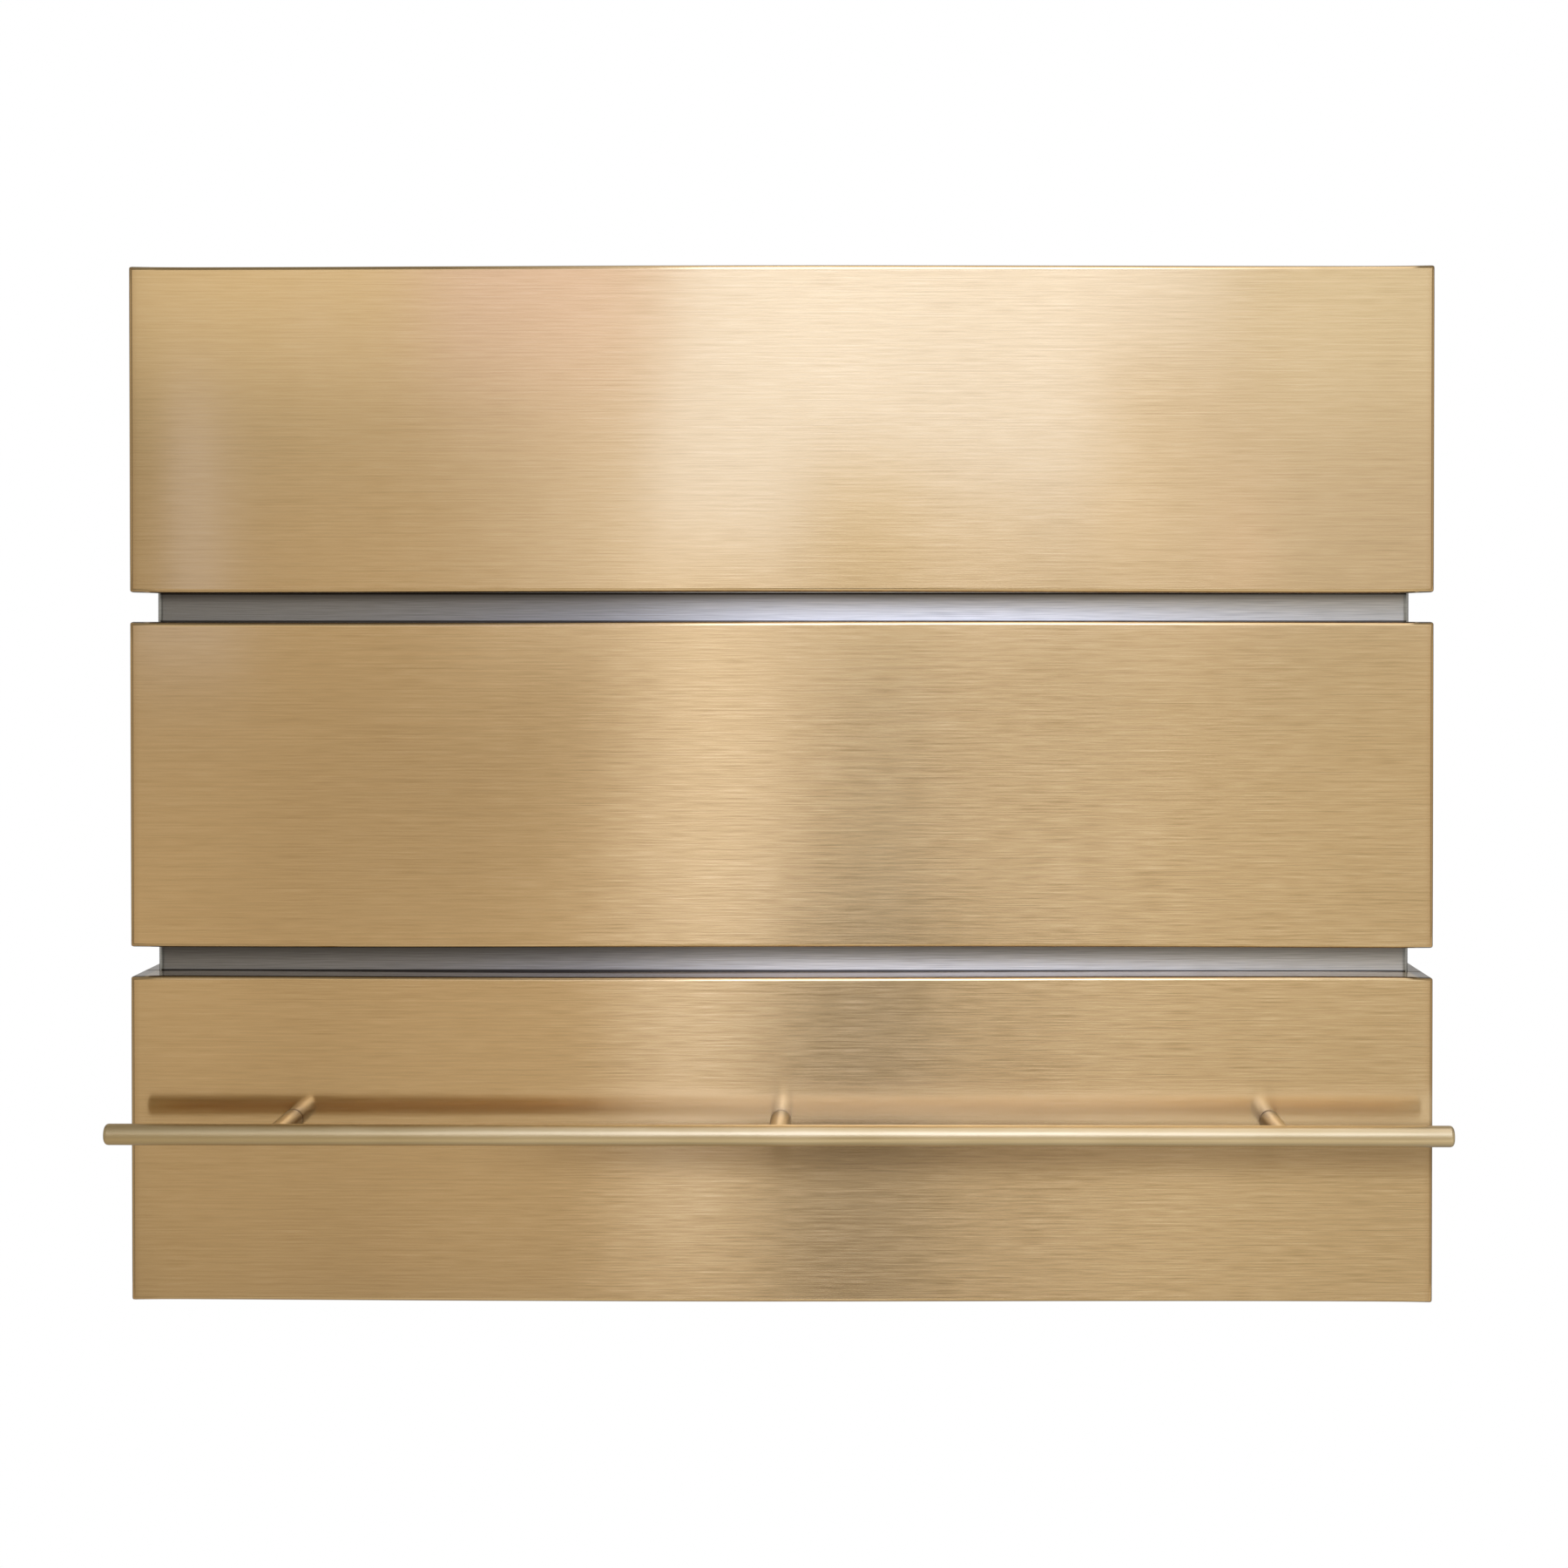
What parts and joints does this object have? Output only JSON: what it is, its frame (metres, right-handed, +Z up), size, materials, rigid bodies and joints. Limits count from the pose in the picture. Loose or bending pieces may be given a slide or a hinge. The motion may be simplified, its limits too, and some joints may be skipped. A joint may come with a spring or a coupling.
{
  "type": "wall mounted mailbox",
  "caption": "Wall mounted mailbox: brushed brass bands round a recessed stainless core, lid hinged at the wall, drop-down door with a full-width rail.",
  "frame": {"origin": "centre of the four wall screw holes, on the wall face of the back plate", "axes": "+Z up, -Y out of the wall towards the viewer, +X to the viewer's right"},
  "size_m": [0.402, 0.1582, 0.318],
  "materials": {
    "brass": "horizontally brushed, clear lacquered sheet",
    "solid_brass": "satin turned rod",
    "stainless": "horizontally brushed sheet",
    "plain_steel": "plain stainless",
    "rubber": "matt black",
    "magnet": "black coated"
  },
  "bodies": {
    "box": {"back_plate": "stainless", "core_shell": "stainless", "floor_plate": "stainless", "core_rivets": "plain_steel", "middle_band": "brass", "middle_band_spacers": "plain_steel", "lower_side_left": "brass", "lower_side_right": "brass", "lower_side_spacers": "plain_steel", "cladding_screws": "plain_steel", "lid_hinge_body_leaf": "stainless", "lid_hinge_pin": "plain_steel", "lid_hinge_body_rivets": "plain_steel", "lid_bumpers": "rubber", "door_hinge_body_leaf": "stainless", "door_hinge_pin": "plain_steel", "door_hinge_body_rivets": "plain_steel", "magnet_catches": "magnet", "catch_rivets": "plain_steel"},
    "lid": {"lid_shell": "brass", "lid_hinge_lid_leaf": "stainless", "lid_hinge_lid_rivets": "solid_brass"},
    "door": {"door_shell": "brass", "door_liner": "stainless", "door_hinge_door_leaf": "stainless", "door_hinge_door_rivets": "solid_brass", "stay_left": "plain_steel", "stay_right": "plain_steel", "stay_rivets": "plain_steel", "strike_plates": "plain_steel", "rail": "solid_brass", "post_left": "solid_brass", "post_centre": "solid_brass", "post_right": "solid_brass", "rail_spacers": "plain_steel", "rail_screws": "plain_steel"}
  },
  "joints": [
    {"name": "lid_hinge", "type": "hinge", "parent": "box", "child": "lid", "pos_m": [0, -0.006, 0.15525], "axis": [-1, 0, 0], "range_deg": [0, 85]},
    {"name": "door_hinge", "type": "hinge", "parent": "box", "child": "door", "pos_m": [0, -0.11845, -0.15525], "axis": [1, 0, 0], "range_deg": [0, 75]}
  ]
}
